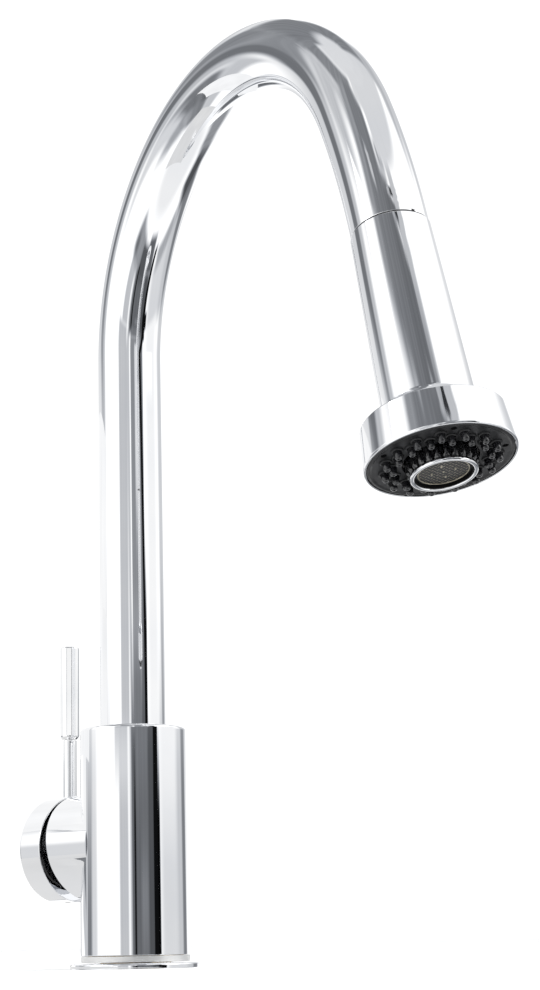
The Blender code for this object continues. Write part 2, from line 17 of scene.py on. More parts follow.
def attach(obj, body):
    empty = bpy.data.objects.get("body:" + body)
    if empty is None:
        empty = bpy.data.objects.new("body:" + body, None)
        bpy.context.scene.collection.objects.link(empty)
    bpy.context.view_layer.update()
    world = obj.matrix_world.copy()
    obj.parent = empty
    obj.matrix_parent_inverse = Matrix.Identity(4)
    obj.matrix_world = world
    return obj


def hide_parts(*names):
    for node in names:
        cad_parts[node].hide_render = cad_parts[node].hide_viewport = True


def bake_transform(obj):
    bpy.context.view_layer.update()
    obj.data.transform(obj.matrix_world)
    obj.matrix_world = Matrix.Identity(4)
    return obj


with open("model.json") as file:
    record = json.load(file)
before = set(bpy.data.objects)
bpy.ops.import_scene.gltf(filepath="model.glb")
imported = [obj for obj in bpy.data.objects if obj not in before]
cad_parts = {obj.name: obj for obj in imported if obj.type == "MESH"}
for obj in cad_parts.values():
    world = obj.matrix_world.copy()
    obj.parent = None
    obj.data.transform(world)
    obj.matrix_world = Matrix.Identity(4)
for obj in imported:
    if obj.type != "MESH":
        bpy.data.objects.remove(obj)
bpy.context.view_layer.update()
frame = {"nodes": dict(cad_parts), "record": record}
MM = 0.001

# Sizes and angles of the CAD model, in metres and radians
TUBE_RADIUS = 15.55 * MM
TUBE_WALL = 1.6 * MM
TUBE_BOTTOM = 85.0 * MM
ARCH_START = 290.0 * MM
ARCH_RADIUS = 106.2 * MM
ARCH_ANGLE = radians(155.8)
TAIL_RADIUS = 346.0 * MM
TAIL_ANGLE = radians(10.3)
HUB_AZIMUTH = radians(16.9)
HUB_HEIGHT = 55.6 * MM
HUB_RADIUS = 24.7 * MM
PIVOT_OUT = 38.4 * MM
VALVE_SLANT = radians(9.0)
FACE_BEHIND_PIVOT = 4.3 * MM
HOSE_RADIUS = 5.5 * MM
HOSE_DROP = 49.4 * MM       # the hose starts this far below the deck
WAND_TRAVEL = 160.0 * MM
JOINT_TO_HOSE = 12.4 * MM   # the wand holds the hose this far behind the joint
REACH_START = 75.0 * MM     # the hose draws out from this far behind the joint

# The same for outlines, in mm
BODY_RADIUS = 25.0
BODY_TOP = 108.8
BODY_BORE = 22.3
BODY_ROOF = 105.8
BAND_BOTTOM = 2.8
BAND_TOP = 5.5

NOZZLES_PER_RING = 15
ROUND = 160                 # sides of the large round pieces
SMALL_ROUND = 64

# The photograph's viewpoint
CAMERA_PLACE = Vector((-0.3772, -0.7406, 0.00995))
CAMERA_YAW = 0.51826
CAMERA_PITCH = 0.2416
CAMERA_ROLL = -0.02141
CAMERA_LENS = 64.076
CAMERA_SHIFT = (0.0586, 0.0150)


# ---------------------------------------------------------------- places

def bend_station(start, radius, angle_from, angle):
    step = Vector((0, radius * (cos(angle) - cos(angle_from)), radius * (sin(angle) - sin(angle_from))))
    return start + step, Vector((0, -sin(angle), cos(angle)))


def spout_stations(bottom, arch_steps, tail_steps):
    """Points and directions along the middle of the spout, from its lower end to the joint with the wand."""
    up = Vector((0, 0, 1))
    foot = Vector((0, 0, bottom))
    shoulder = Vector((0, 0, ARCH_START))
    stations = [(foot, up), (foot.lerp(shoulder, 0.5), up)]
    for step in range(arch_steps + 1):
        stations.append(bend_station(shoulder, ARCH_RADIUS, 0.0, ARCH_ANGLE * step / arch_steps))
    tail = stations[-1][0]
    for step in range(1, tail_steps + 1):
        angle = ARCH_ANGLE + TAIL_ANGLE * step / tail_steps
        stations.append(bend_station(tail, TAIL_RADIUS, ARCH_ANGLE, angle))
    return stations


def hub_frames():
    outward = Vector((-sin(HUB_AZIMUTH), cos(HUB_AZIMUTH), 0))
    up = Vector((0, 0, 1))
    turn = Matrix((up.cross(outward), up, outward)).transposed().to_4x4()
    hub = Matrix.Translation(outward * PIVOT_OUT + up * HUB_HEIGHT) @ turn
    return hub, hub @ Matrix.Rotation(VALVE_SLANT, 4, "X")


HUB, VALVE = hub_frames()
JOINT, WAND_AXIS = spout_stations(TUBE_BOTTOM, 20, 4)[-1]
WAND = Matrix.Translation(JOINT) @ Matrix(
    ((1, 0, 0), WAND_AXIS.cross(Vector((1, 0, 0))), WAND_AXIS)
).transposed().to_4x4()
LEVER = HUB @ Matrix.Translation((0, 0, 6.3 * MM)) @ Matrix.Rotation(-pi / 2, 4, "X")


# ---------------------------------------------------------------- mesh helpers

def soften(corners, closed=True, steps=4):
    """The outline with its corners rounded. A corner is (radius, height, size of the rounding), in mm.

    A close point on either side of each rounding keeps the long faces next to it flat in shading.
    """
    count = len(corners)
    points = []
    for index, (x, y, size) in enumerate(corners):
        here = Vector((x, y))
        end = not closed and index in (0, count - 1)
        if end or size == 0:
            points.append(here)
            continue
        before = Vector(corners[index - 1][:2]) - here
        after = Vector(corners[(index + 1) % count][:2]) - here
        reach_in = min(size, 0.4 * before.length)
        reach_out = min(size, 0.4 * after.length)
        start = here + before.normalized() * reach_in
        stop = here + after.normalized() * reach_out
        points.append(start + before.normalized() * reach_in * 0.2)
        for step in range(steps + 1):
            t = step / steps
            points.append(start * (1 - t) ** 2 + here * 2 * t * (1 - t) + stop * t * t)
        points.append(stop + after.normalized() * reach_out * 0.2)
    return [(point.x * MM, point.y * MM) for point in points]


def arc(centre, radius, start, end, steps):
    """Points of an arc in mm with no rounding, the angles in degrees from the radial direction."""
    angles = [radians(start + (end - start) * step / steps) for step in range(steps + 1)]
    return [(centre[0] + radius * cos(a), centre[1] + radius * sin(a), 0) for a in angles]


def grid_mesh(name, rows, closed_rows):
    """Quads between rings of points; with closed_rows the last ring joins the first."""
    rows = np.asarray(rows, float)
    count, sides = rows.shape[:2]
    quads = []
    for row in range(count if closed_rows else count - 1):
        after_row = (row + 1) % count
        for side in range(sides):
            after = (side + 1) % sides
            quads.append((
                row * sides + side, row * sides + after, after_row * sides + after, after_row * sides + side,
            ))
    mesh = bpy.data.meshes.new(name)
    mesh.from_pydata(rows.reshape(-1, 3).tolist(), [], quads)
    return tidy_mesh(mesh)


def tidy_mesh(mesh):
    """Merges points that coincide, drops faces with no area and turns the rest outwards."""
    bm = bmesh.new()
    bm.from_mesh(mesh)
    bmesh.ops.remove_doubles(bm, verts=bm.verts, dist=1e-7)
    bmesh.ops.recalc_face_normals(bm, faces=bm.faces)
    if bm.calc_volume(signed=True) < 0:
        bmesh.ops.reverse_faces(bm, faces=bm.faces)
    bm.to_mesh(mesh)
    bm.free()
    return mesh


def full_turn(sides):
    return np.arange(sides) * 2 * pi / sides


def level_ring(turns, radius, height):
    """Points round Z at each of the turns; radius and height are numbers or one value for each turn."""
    return np.stack([radius * np.cos(turns), radius * np.sin(turns), height + 0 * turns], axis=1)


def lathe(name, outline, sides=ROUND):
    """Solid of revolution about Z from an outline of (radius, height), closed unless it ends on the axis."""
    rows = [level_ring(full_turn(sides), radius, height) for radius, height in outline]
    return grid_mesh(name, rows, outline[0][0] > 0 or outline[-1][0] > 0)


def tube_along(name, stations, outline, sides):
    """Sweeps a ring along stations in the YZ plane. The outline gives (station index, shift, radius)."""
    across = np.array((1.0, 0, 0))
    turns = full_turn(sides)
    rows = []
    for index, shift, radius in outline:
        centre, along = stations[index]
        normal = np.array(along.cross(Vector(across)))
        ring = np.outer(np.cos(turns), across) + np.outer(np.sin(turns), normal)
        rows.append(np.array(centre + along * shift) + ring * radius)
    return grid_mesh(name, rows, True)


def joined(name, meshes):
    """One mesh from several (mesh, matrix) pairs."""
    bm = bmesh.new()
    for mesh, matrix in meshes:
        copy = mesh.copy()
        copy.transform(matrix)
        bm.from_mesh(copy)
        bpy.data.meshes.remove(copy)
    result = bpy.data.meshes.new(name)
    bm.to_mesh(result)
    bm.free()
    return result


def linked(name, data):
    thing = bpy.data.objects.new(name, data)
    bpy.context.scene.collection.objects.link(thing)
    return thing


def cut(mesh, cutters, operation="DIFFERENCE"):
    """The mesh after an exact Boolean with each cutter, in the same axes."""
    thing = linked("cut_source", mesh)
    tools = []
    for tool_mesh in cutters:
        tool = linked("cut_tool", tool_mesh)
        modifier = thing.modifiers.new("cut", "BOOLEAN")
        modifier.object = tool
        modifier.operation = operation
        tools.append(tool)
    bpy.context.view_layer.update()
    result = bpy.data.meshes.new_from_object(thing.evaluated_get(bpy.context.evaluated_depsgraph_get()))
    for extra in [thing, *tools]:
        bpy.data.objects.remove(extra)
    return result


def box_mesh(name, low, high):
    corners = [(x, y, z) for z in (low[2], high[2]) for y in (low[1], high[1]) for x in (low[0], high[0])]
    mesh = bpy.data.meshes.new(name)
    faces = [(0, 2, 3, 1), (4, 5, 7, 6), (0, 1, 5, 4), (1, 3, 7, 5), (3, 2, 6, 7), (2, 0, 4, 6)]
    mesh.from_pydata(corners, [], faces)
    return tidy_mesh(mesh)


def piece(name, mesh, matrix, body, material, stands_for=(), sharp=32):
    """Adds a detailed piece that rides on a CAD body and stands for the CAD nodes named."""
    mesh.transform(matrix)
    mesh.materials.clear()
    mesh.materials.append(material)
    mesh.shade_smooth()
    mesh.set_sharp_from_angle(angle=radians(sharp))
    thing = linked(name, mesh)
    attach(thing, body)
    if stands_for:
        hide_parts(*stands_for)


# ---------------------------------------------------------------- materials

def new_material(name, colour, metallic, roughness, **sockets):
    material = bpy.data.materials.new(name)
    material.use_nodes = True
    nodes = material.node_tree.nodes
    shader = nodes["Principled BSDF"]
    shader.inputs["Base Color"].default_value = (*colour, 1)
    shader.inputs["Metallic"].default_value = metallic
    shader.inputs["Roughness"].default_value = roughness
    for socket, value in sockets.items():
        shader.inputs[socket.replace("_", " ")].default_value = value
    return material


def noise(material, scale, detail=3.0, stretch=None):
    """A noise texture in object space, in features per metre, stretched along an axis if asked."""
    nodes, links = material.node_tree.nodes, material.node_tree.links
    where = nodes.new("ShaderNodeTexCoord").outputs["Object"]
    if stretch is not None:
        mapping = nodes.new("ShaderNodeMapping")
        mapping.inputs["Scale"].default_value = stretch
        links.new(where, mapping.inputs["Vector"])
        where = mapping.outputs["Vector"]
    texture = nodes.new("ShaderNodeTexNoise")
    texture.inputs["Scale"].default_value = scale
    texture.inputs["Detail"].default_value = detail
    links.new(where, texture.inputs["Vector"])
    return texture.outputs["Fac"]


def spread(material, factor, low, high, from_low=0.3, from_high=0.7):
    """The factor mapped to the range from low to high."""
    nodes, links = material.node_tree.nodes, material.node_tree.links
    mapped = nodes.new("ShaderNodeMapRange")
    mapped.inputs["From Min"].default_value = from_low
    mapped.inputs["From Max"].default_value = from_high
    mapped.inputs["To Min"].default_value = low
    mapped.inputs["To Max"].default_value = high
    links.new(factor, mapped.inputs["Value"])
    return mapped.outputs["Result"]


def vary_roughness(material, factor, low, high):
    links = material.node_tree.links
    shader = material.node_tree.nodes["Principled BSDF"]
    links.new(spread(material, factor, low, high), shader.inputs["Roughness"])


def vary_colour(material, factor, first, second, low=0.35, high=0.65):
    nodes, links = material.node_tree.nodes, material.node_tree.links
    ramp = nodes.new("ShaderNodeValToRGB")
    ramp.color_ramp.elements[0].position = low
    ramp.color_ramp.elements[1].position = high
    ramp.color_ramp.elements[0].color = (*first, 1)
    ramp.color_ramp.elements[1].color = (*second, 1)
    links.new(factor, ramp.inputs["Fac"])
    links.new(ramp.outputs["Color"], nodes["Principled BSDF"].inputs["Base Color"])


def add_bump(material, factor, strength, depth):
    nodes, links = material.node_tree.nodes, material.node_tree.links
    shader = nodes["Principled BSDF"]
    bump = nodes.new("ShaderNodeBump")
    bump.inputs["Strength"].default_value = strength
    bump.inputs["Distance"].default_value = depth
    if shader.inputs["Normal"].is_linked:
        links.new(shader.inputs["Normal"].links[0].from_socket, bump.inputs["Normal"])
    links.new(factor, bump.inputs["Height"])
    links.new(bump.outputs["Normal"], shader.inputs["Normal"])


def chrome_material():
    material = new_material("polished_chrome", (0.90, 0.905, 0.92), 1.0, 0.03)
    vary_colour(material, noise(material, 28, 4), (0.875, 0.885, 0.905), (0.915, 0.92, 0.93))
    vary_roughness(material, noise(material, 90, 5), 0.015, 0.05)
    add_bump(material, noise(material, 22, 2), 0.05, 0.0006)
    return material


def metal_material(name, dark, light, rough_low, rough_high, grain, bump=0.15, stretch=None):
    material = new_material(name, light, 1.0, rough_high)
    vary_colour(material, noise(material, grain * 0.2, 4, stretch), dark, light)
    vary_roughness(material, noise(material, grain * 0.6, 4, stretch), rough_low, rough_high)
    add_bump(material, noise(material, grain, 3, stretch), bump, 0.0002)
    return material


def plastic_material(name, dark, light, rough_low, rough_high, grain, bump=0.2, **sockets):
    material = new_material(name, light, 0.0, rough_high, **sockets)
    vary_colour(material, noise(material, grain * 0.1, 4), dark, light)
    vary_roughness(material, noise(material, grain * 0.4, 3), rough_low, rough_high)
    add_bump(material, noise(material, grain, 2), bump, 0.0001)
    return material


CHROME = chrome_material()
LEVER_CHROME = metal_material(
    "lever_chrome", (0.88, 0.89, 0.90), (0.93, 0.935, 0.94), 0.06, 0.11, 300, 0.03,
)
FOOT = metal_material("satin_band", (0.86, 0.86, 0.85), (0.95, 0.95, 0.94), 0.42, 0.55, 600, 0.1)
BRASS = metal_material("machined_brass", (0.50, 0.34, 0.13), (0.78, 0.60, 0.30), 0.18, 0.36, 900)
STEEL = metal_material(
    "plain_steel", (0.42, 0.42, 0.43), (0.62, 0.62, 0.63), 0.22, 0.40, 1200, 0.2, (1, 1, 6),
)
BRAID = metal_material("braided_steel", (0.30, 0.31, 0.33), (0.62, 0.63, 0.65), 0.22, 0.42, 1500)
MESH_WIRE = metal_material("mesh_wire", (0.42, 0.39, 0.31), (0.68, 0.63, 0.52), 0.24, 0.42, 1500)
RUBBER = plastic_material(
    "soft_rubber", (0.004, 0.004, 0.005), (0.012, 0.012, 0.014), 0.07, 0.16, 1400, 0.1,
    Coat_Weight=0.8, Coat_Roughness=0.05,
)
SEAL = plastic_material("seal_rubber", (0.010, 0.010, 0.011), (0.028, 0.028, 0.030), 0.55, 0.80, 1200, 0.35)
RIBS = plastic_material(
    "ribbed_plastic", (0.003, 0.003, 0.004), (0.009, 0.009, 0.010), 0.03, 0.08, 1600, 0.04, IOR=1.9,
)
BLACK = plastic_material(
    "black_plastic", (0.004, 0.004, 0.005), (0.012, 0.012, 0.013), 0.06, 0.14, 1600, 0.05,
)
GREY = plastic_material(
    "face_plastic", (0.006, 0.0062, 0.0068), (0.017, 0.0175, 0.019), 0.30, 0.46, 2200, 0.3,
    Specular_IOR_Level=0.3,
)
# Near black and almost without gloss: painted shade for the inside of the outlet behind the screen.
PAINTED_SHADE = plastic_material(
    "outlet_inside_painted_shade", (0.002, 0.002, 0.002), (0.006, 0.006, 0.006), 0.6, 0.8, 900, 0.2, Specular_IOR_Level=0.1,
)
WHITE = plastic_material("white_acetal", (0.62, 0.62, 0.60), (0.78, 0.78, 0.76), 0.32, 0.50, 900, 0.15)

CAD_FINISH = {
    "chrome": CHROME, "brass": BRASS, "steel": STEEL, "steel_mesh": MESH_WIRE, "hose_braid": BRAID,
    "rubber": SEAL, "black_plastic": BLACK, "grey_plastic": GREY, "white_plastic": WHITE,
}


# ---------------------------------------------------------------- base and body

def build_base():
    corners = [
        (16.8, 0, 0.3), (20, 0, 0.2), (20, 1.5, 0.2), (27, 1.5, 0.2), (27, 0, 0.2),
        (29.8, 0, 0.25), (29.8, 2.5, 1.0), (16.8, 2.5, 0.3),
    ]
    flange = lathe("flange_plate", soften(corners))
    piece("flange_plate", flange, Matrix(), "base", CHROME, ["base_flange"])

    ring = [
        (BODY_BORE + 0.1, BAND_BOTTOM, 0.1), (BODY_RADIUS - 0.1, BAND_BOTTOM, 0.3),
        (BODY_RADIUS - 0.05, BAND_TOP, 0.15), (BODY_BORE + 0.1, BAND_TOP, 0.1),
    ]
    piece("foot_ring", lathe("foot_ring", soften(ring)), Matrix(), "base", FOOT)

    bottom = BAND_TOP + 0.2
    shell = [(0, bottom, 0), (BODY_RADIUS, bottom, 0.35), (BODY_RADIUS, BODY_TOP, 1.5), (0, BODY_TOP, 0)]
    shell = lathe("shell", soften(shell, closed=False, steps=8), 256)
    boss = boss_mesh()
    bore = [
        (0, -5, 0), (BODY_BORE, -5, 0), (BODY_BORE, BODY_ROOF, 0), (15.95, BODY_ROOF, 0), (15.95, 108.45, 0),
        (16.3, 108.85, 0), (16.3, 115, 0), (0, 115, 0),
    ]
    bore = lathe("bore", soften(bore, closed=False), 250)
    seat = lathe("seat", soften([(0, -30, 0), (20.2, -30, 0), (20.2, 12, 0), (0, 12, 0)], closed=False), 192)
    seat.transform(VALVE)
    shell = cut(cut(shell, [boss], "UNION"), [bore, seat])
    piece("body_shell_skin", shell, Matrix(), "base", CHROME, ["body_shell"])


def build_fixing():
    """What holds the faucet under the deck: a threaded shank and its hexagonal nut."""
    pitch = 1.5 * MM
    steps_per_pitch = 6
    outer, bore, thread_depth = 16.2, 13.0, 0.85
    turns = full_turn(72)

    def ring(radius, height):
        return level_ring(turns, radius * MM, height * MM)

    rows = [ring(bore, 11.7), ring(bore, -51.7), ring(bore + 0.3, -52), ring(15.1, -52)]
    count = int(50 * MM / pitch * steps_per_pitch)
    for index in range(count + 1):
        height = -51.4 * MM + index * pitch / steps_per_pitch
        depth = 0.5 + 0.5 * np.cos(turns + 2 * pi * height / pitch)
        end = min(1.0, index / steps_per_pitch, (count - index) / steps_per_pitch)
        rows.append(ring(outer - thread_depth * depth * end - 0.4 * (1 - end), height / MM))
    rows += [ring(outer, -0.8), ring(outer, 11.5), ring(outer - 0.2, 11.7)]
    shank = grid_mesh("shank_thread", rows, True)
    piece("shank_thread", shank, Matrix(), "base", BRASS, ["threaded_shank"])

    top, bottom = -38.3, -48.3

    def sharp_lathe(name, corners, sides):
        return lathe(name, [(radius * MM, height * MM) for radius, height in corners], sides)

    hexagon = [(0, bottom - 1), (25, bottom - 1), (25, top + 1), (0, top + 1)]
    hexagon = sharp_lathe("hexagon", hexagon, 6)
    domes = [(0, bottom), (21.6, bottom), (25.2, bottom + 1.9), (25.2, top - 1.9), (21.6, top), (0, top)]
    domes = sharp_lathe("domes", domes, 96)
    hole = [(0, -60), (17.4, -60), (17.4, bottom + 0.3), (16.5, bottom + 1.2)]
    hole += [(16.5, top - 1.2), (17.4, top - 0.3), (17.4, -30), (0, -30)]
    hole = sharp_lathe("hole", hole, 90)
    nut = cut(cut(hexagon, [domes], "INTERSECT"), [hole])
    piece("hex_nut", nut, Matrix(), "base", BRASS, ["mounting_nut"])


def boss_mesh():
    """Hub on the body's side: a level cylinder whose outer end leans with the valve."""
    middle = -FACE_BEHIND_PIVOT / cos(VALVE_SLANT)
    turns = full_turn(240)
    rows = []
    for radius, back in ((0, 0), (HUB_RADIUS - 0.4 * MM, 0), (HUB_RADIUS - 0.12 * MM, 0.1 * MM),
                         (HUB_RADIUS, 0.4 * MM), (HUB_RADIUS, 0.6 * MM)):
        lean = radius * np.sin(turns) * tan(VALVE_SLANT)
        rows.append(level_ring(turns, radius, middle + lean - back))
    rows += [level_ring(turns, radius, 7 * MM - PIVOT_OUT) for radius in (HUB_RADIUS, 0)]
    mesh = grid_mesh("boss", rows, False)
    mesh.transform(HUB)
    return mesh


# ---------------------------------------------------------------- spout and hose

def build_spout():
    stations = spout_stations(TUBE_BOTTOM, 120, 16)
    last = len(stations) - 1
    inner = TUBE_RADIUS - TUBE_WALL
    lip = 0.14 * MM
    wall = [(0, 0, inner), (0, 0, TUBE_RADIUS - lip), (0, lip, TUBE_RADIUS), (0, 2 * lip, TUBE_RADIUS)]
    wall += [(index, 0, TUBE_RADIUS) for index in range(1, last)]
    end = -0.3 * MM
    wall += [(last, end - 2 * lip, TUBE_RADIUS), (last, end - lip, TUBE_RADIUS)]
    wall += [(last, end - 0.3 * lip, TUBE_RADIUS - 0.3 * lip), (last, end, TUBE_RADIUS - lip)]
    wall += [(last, end, inner + lip), (last, end - lip, inner)]
    wall += [(index, 0, inner) for index in range(last - 1, 0, -1)]
    tube = tube_along("gooseneck", stations, wall, ROUND)
    notch = box_mesh("notch", (-0.75 * MM, 14.2 * MM, -1.1 * MM), (0.75 * MM, 16.4 * MM, 0.6 * MM))
    notch.transform(WAND)
    tube = cut(tube, [notch])
    piece("gooseneck", tube, Matrix(), "spout", CHROME, ["spout_tube"])


def hose_place(back):
    """Point and direction on the middle of the hose, this far back from the joint with the wand."""
    tail = TAIL_RADIUS * TAIL_ANGLE
    arch = ARCH_RADIUS * ARCH_ANGLE
    if back <= JOINT_TO_HOSE:
        return JOINT - WAND_AXIS * back, -WAND_AXIS
    shoulder = Vector((0, 0, ARCH_START))
    if back < tail:
        bend = bend_station(shoulder, ARCH_RADIUS, 0.0, ARCH_ANGLE)[0]
        return bend_station(bend, TAIL_RADIUS, ARCH_ANGLE, ARCH_ANGLE + (tail - back) / TAIL_RADIUS)
    if back < tail + arch:
        return bend_station(shoulder, ARCH_RADIUS, 0.0, (tail + arch - back) / ARCH_RADIUS)
    return shoulder - Vector((0, 0, back - tail - arch)), Vector((0, 0, 1))


def braided(name, backs, lengths, sides, strands=10, lay=4.0 * MM, relief=0.28 * MM):
    """Hose whose skin is a braid of crossing strands, laid out by the lengths given for the stations."""
    turns = full_turn(sides)
    across = np.array((1.0, 0, 0))
    rows = []
    for back, length in zip(backs, lengths):
        place, along = hose_place(back)
        normal = np.array(along.cross(Vector(across)))
        ring = np.outer(np.cos(turns), across) + np.outer(np.sin(turns), normal)
        phase = 2 * pi * length / lay
        weave = np.maximum(np.cos(strands * turns + phase), np.cos(strands * turns - phase))
        radius = HOSE_RADIUS - relief * 0.5 * (1 - weave)
        rows.append(np.array(place) + ring * radius[:, None])
    caps = [np.array(hose_place(back)[0]) + np.zeros((sides, 3)) for back in (backs[0], backs[-1])]
    return grid_mesh(name, [caps[0], *rows, caps[1]], False)


def build_hose():
    """The hose: a rigid length up the riser and round the arch, and the reach that the wand draws out."""
    bottom = TAIL_RADIUS * TAIL_ANGLE + ARCH_RADIUS * ARCH_ANGLE + ARCH_START + HOSE_DROP
    backs = np.linspace(bottom, REACH_START, int((bottom - REACH_START) / (1.3 * MM)))
    rise = braided("hose_rise", backs, -backs, 40)
    piece("hose_rise", rise, Matrix(), "spout", BRAID, ["hose"], sharp=60)

    fine = np.linspace(REACH_START, JOINT_TO_HOSE, 2000)
    share = (REACH_START - fine) / (REACH_START - JOINT_TO_HOSE)
    drawn = -fine + WAND_TRAVEL * share ** 2 * (3 - 2 * share)
    lengths = np.arange(drawn[0], drawn[-1], 0.9 * MM)
    reach = braided("hose_reach", np.interp(lengths, drawn, fine), lengths, 60)
    reach.materials.append(BRAID)
    reach.shade_smooth()
    thing = linked("hose_reach", reach)
    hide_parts("hose")
    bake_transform(thing)


# ---------------------------------------------------------------- wand

def build_wand():
    flare = arc((24.45, 77.0), 6.6, 180, 92, 24)
    corners = [
        (8.9, -12, 0.3), (10.2, -12, 0.6), (10.2, 0.4, 0.15), (15.95, 0.4, 0.22), *flare,
        (24.35, 83.6, 0), (24.45, 83.7, 0), (24.45, 85, 0.1), (20.2, 85, 0.2), (20.2, 84, 0.2),
        (15.6, 79.8, 0.3), (13.8, 3, 0.3), (8.9, 3, 0.3),
    ]
    piece("wand_skin", lathe("wand_skin", soften(corners)), WAND, "wand", CHROME, ["wand_shell"])
    corners = [
        (24.75, 83.6, 0.1), (27.2, 83.75, 0.35), (28.5, 99.2, 0.25), (28.3, 99.9, 0.25), (27.6, 99.9, 0.15),
        (27.6, 97, 0.1), (26.2, 97, 0.1), (26.2, 87.3, 0.3), (20.4, 87.3, 0.2), (20.4, 85.3, 0.1),
        (24.75, 85.3, 0.1),
    ]
    piece("bell_skin", lathe("bell_skin", soften(corners)), WAND, "wand", CHROME, ["bell_ring"])


def build_joint_seal():
    """Dark ring in the joint between spout and wand, with a small key that shows on the outer side."""
    seal = [(14.3, -0.25, 0.05), (15.45, -0.25, 0.05), (15.45, 0.38, 0.05), (14.3, 0.38, 0.05)]
    key = box_mesh("key", (-0.6 * MM, 15.3 * MM, -0.95 * MM), (0.6 * MM, 15.6 * MM, 0.38 * MM))
    seal = joined("joint_seal", [(lathe("ring", soften(seal, steps=2)), Matrix()), (key, Matrix())])
    piece("joint_seal", seal, WAND, "wand", SEAL)


def ring_places(count, radius, first_degrees):
    """Places round the spray face; the angle runs from the face's outer side (local +Y) towards +X."""
    turns = [radians(first_degrees) + 2 * pi * step / count for step in range(count)]
    return [(radius * sin(turn), radius * cos(turn)) for turn in turns]


def build_face():
    places = ring_places(NOZZLES_PER_RING, 21.0 * MM, 12) + ring_places(NOZZLES_PER_RING, 18.0 * MM, 0)
    plate = [
        (14.3, 97.3, 0.1), (27.3, 97.3, 0.1), (27.3, 99.6, 0.15), (26.2, 99.9, 0.2), (25.4, 99.5, 0.2),
        (14.3, 99.5, 0.3),
    ]
    plate = lathe("face_skin", soften(plate, steps=2), 120)
    collar = [(1.3, 98.9, 0), (2.5, 98.9, 0), (2.35, 100.0, 0.35), (1.75, 100.2, 0.15), (1.7, 98.9, 0)]
    collar = lathe("collar", soften(collar, steps=2), 20)
    collars = [(collar, Matrix.Translation((x, y, 0))) for x, y in places]
    holes = lathe("air", soften([(0, 96, 0), (1.2, 96, 0), (1.2, 103, 0), (0, 103, 0)], closed=False), 20)
    air = [(holes, Matrix.Translation((x, y, 0))) for x, y in ring_places(5, 23.6 * MM, -24)]
    seats = lathe("seats", soften([(0, 96, 0), (1.72, 96, 0), (1.72, 103, 0), (0, 103, 0)], closed=False), 20)
    seats = [(seats, Matrix.Translation((x, y, 0))) for x, y in places]
    plate = cut(plate, [joined("seats", seats), joined("air", air)])
    plate = joined("face_skin", [(plate, Matrix()), *collars])
    piece("face_skin", plate, WAND, "wand", GREY, ["face_plate"])

    sheet = lathe("sheet", soften([(14.9, 95, 0), (25.9, 95, 0), (25.9, 97, 0), (14.9, 97, 0)]), 96)
    tip = [
        (0, 96.5, 0), (1.66, 96.5, 0), (1.62, 100.2, 0.2), (1.36, 102.4, 0.5), (1.02, 103.0, 0.3),
        (0.46, 103.0, 0.12), (0.40, 101.6, 0), (0, 101.6, 0),
    ]
    tip = lathe("tip", soften(tip, closed=False, steps=3), 24)
    tips = [(tip, Matrix.Translation((x, y, 0))) for x, y in places]
    nozzles = joined("nozzles", [(sheet, Matrix()), *tips])
    piece("nozzles", nozzles, WAND, "wand", RUBBER, ["nozzle_mat"])


def build_aerator():
    ribs = 24
    per_rib = 12
    turns = full_turn(ribs * per_rib)
    wave = np.clip(1.6 * (0.5 + 0.5 * np.cos(turns * ribs)) - 0.3, 0, 1)

    def ring(radius, height):
        return level_ring(turns, radius * MM, height * MM)

    rows = []
    for depth, height in ((0.9, 95.0), (1.0, 95.3), (1.0, 103.0), (0.7, 103.6), (0.2, 104.0), (0.0, 104.3)):
        rows.append(ring(12.45 + depth * wave, height))
    rows += [ring(11.0, 104.3), ring(11.0, 95.0)]
    barrel = grid_mesh("ribbed_barrel", rows, True)
    piece("ribbed_barrel", barrel, WAND, "selector", RIBS, ["aerator_cage"])

    rim = [
        (10.95, 104.45, 0.1), (12.6, 104.45, 0.2), (12.6, 105.4, 0.45), (12.3, 105.9, 0.35),
        (11.3, 105.9, 0.4), (10.95, 105.6, 0.2),
    ]
    rim = lathe("aerator_rim", soften(rim))
    piece("aerator_rim", rim, WAND, "selector", CHROME, ["aerator_ring"])
    build_weave()


